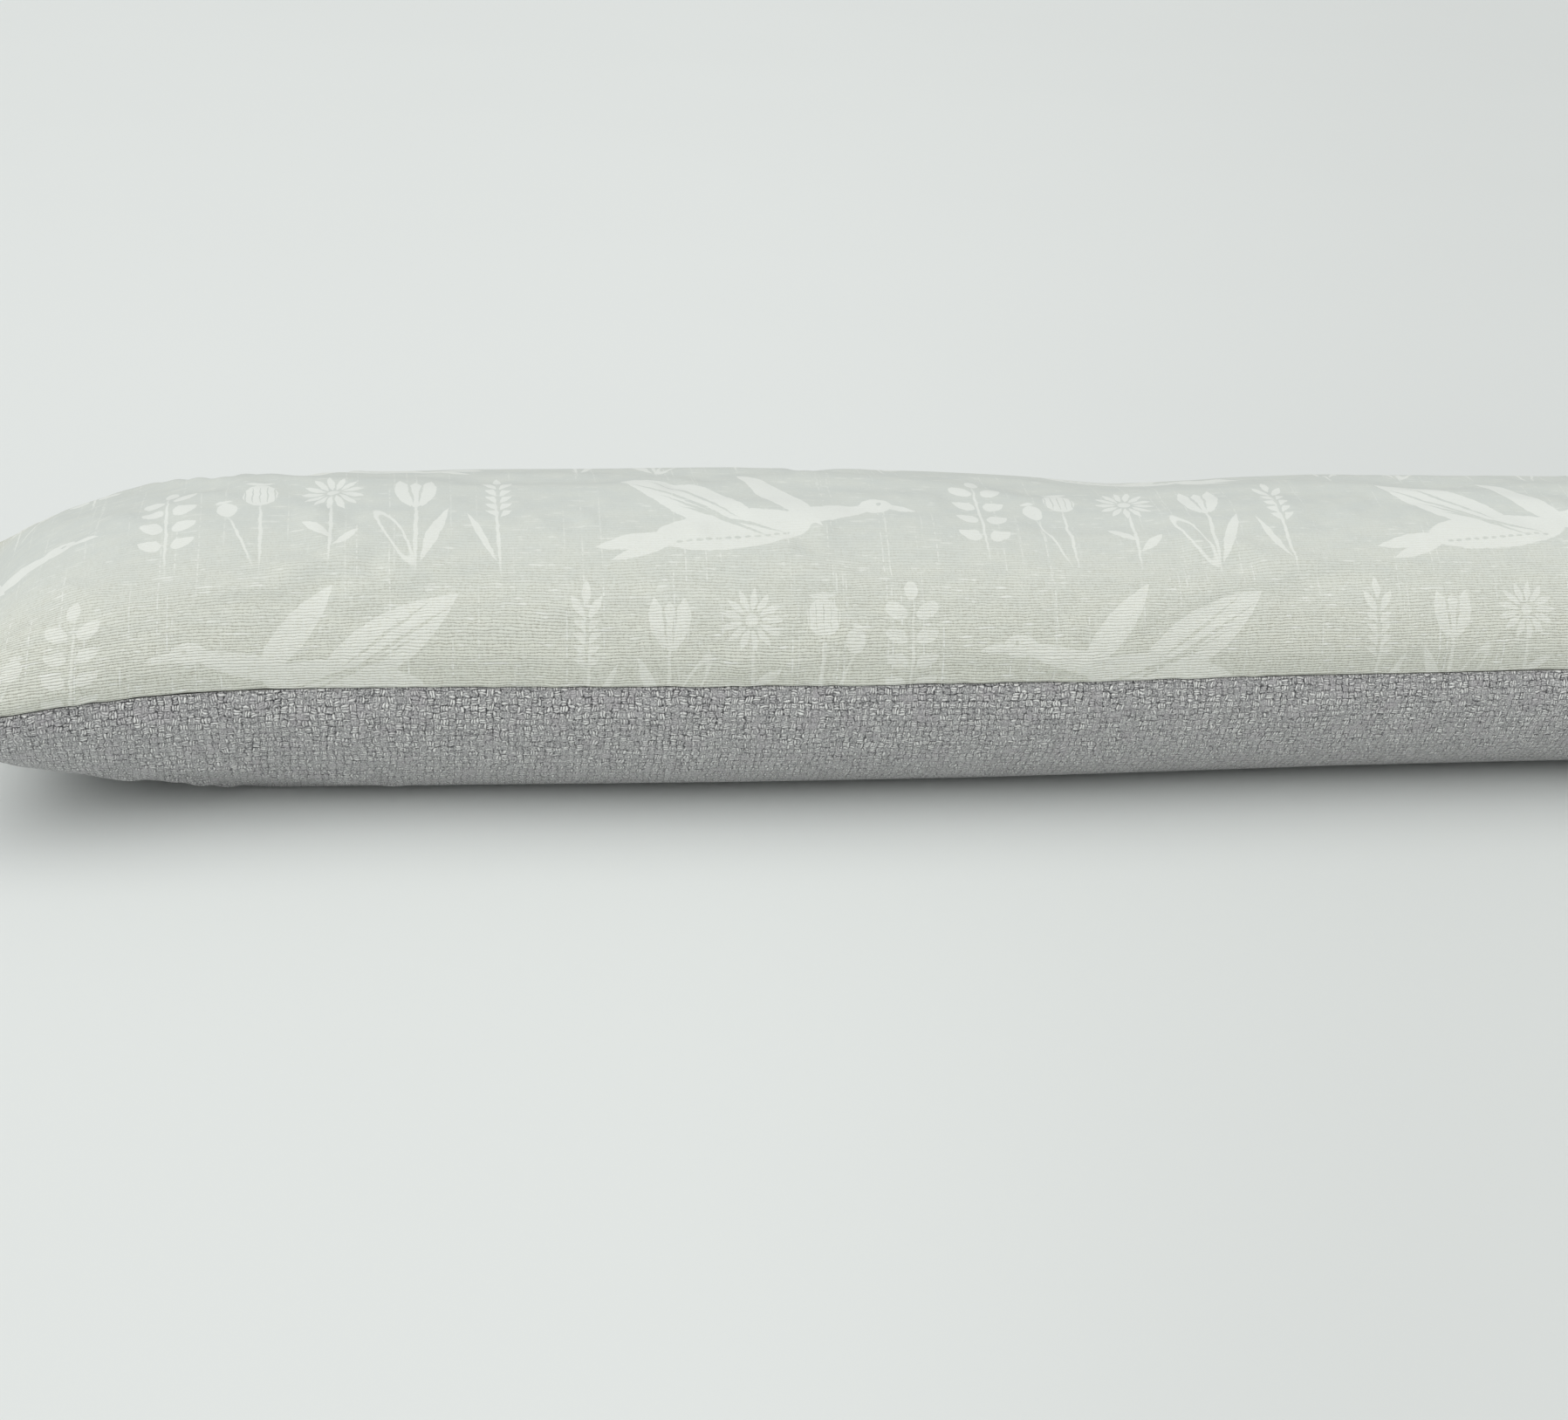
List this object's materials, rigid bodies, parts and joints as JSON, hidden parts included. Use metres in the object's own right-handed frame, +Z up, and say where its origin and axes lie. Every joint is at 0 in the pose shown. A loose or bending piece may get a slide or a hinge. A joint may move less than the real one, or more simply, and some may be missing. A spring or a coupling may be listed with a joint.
{
  "type": "draught excluder",
  "caption": "Long stuffed fabric draught excluder, a printed panel above and a basket-weave panel below, sewn with plain seams.",
  "frame": {"origin": "on the surface that it lies on, below the middle of the whole object's box", "axes": "+X along the length, +Z up from the surface, and the front long seam that the picture shows at -Y"},
  "size_m": [0.885, 0.146, 0.0992],
  "materials": {
    "print_cloth": "matt slub cotton and linen weave, pale grey-green with an off-white print",
    "basket_cloth": "matt heathered mid-grey basket weave"
  },
  "bodies": {
    "root": {"print_panel": "print_cloth", "base_panel": "basket_cloth"}
  },
  "joints": []
}
